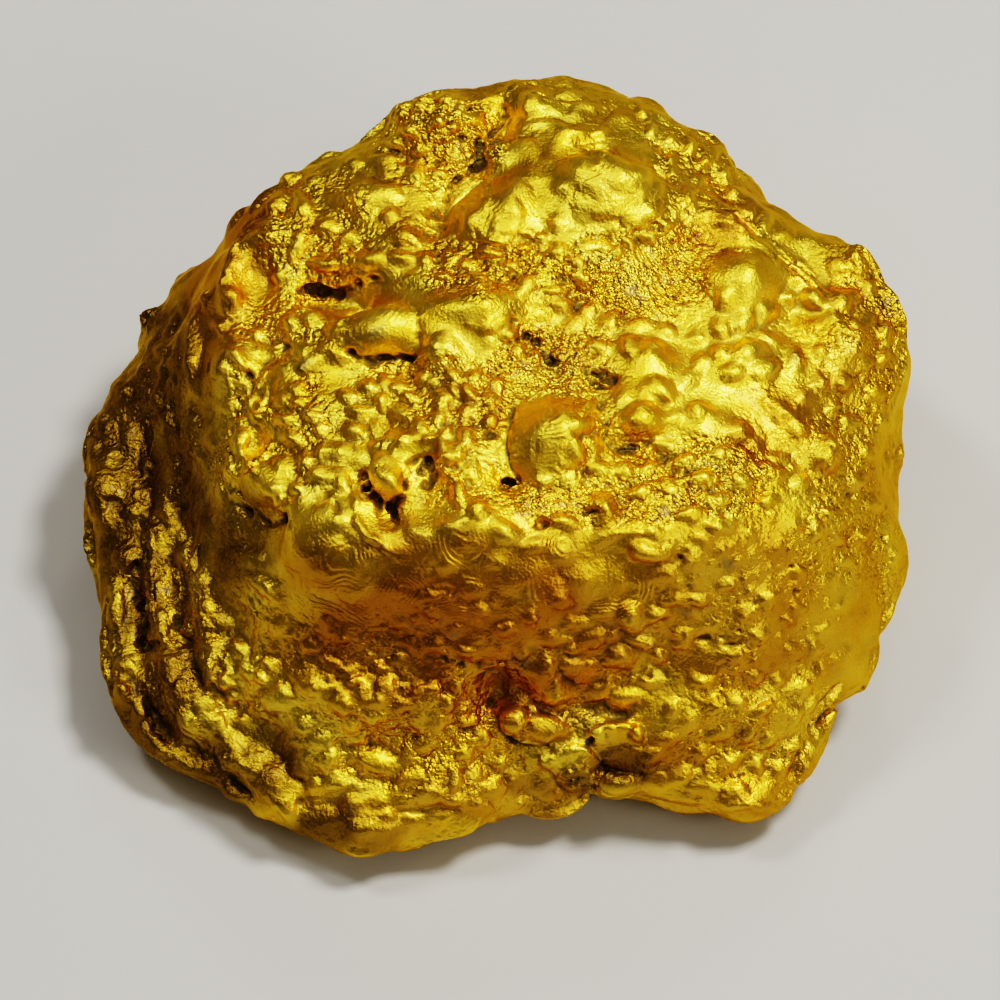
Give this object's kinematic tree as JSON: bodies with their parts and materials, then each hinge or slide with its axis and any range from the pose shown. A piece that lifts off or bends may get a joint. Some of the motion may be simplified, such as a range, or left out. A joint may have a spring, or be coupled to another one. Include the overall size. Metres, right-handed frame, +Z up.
{
  "type": "gold nugget",
  "caption": "Natural gold nugget in one piece: a bun-shaped lump with a rough flat top, a steep front, a low bumpy flange and a worn underside.",
  "frame": {"origin": "centre of the bounding box's bottom face, on the surface that the nugget rests on", "axes": "+X along the nugget's longest side, +Y towards its back, +Z up; the steep front faces -Y"},
  "size_m": [0.0528, 0.0508, 0.0254],
  "materials": {
    "gold": "native gold, rich yellow to orange-brown, satin with a fine grain and bright worn bumps"
  },
  "bodies": {
    "root": {"nugget": "gold"}
  },
  "joints": []
}
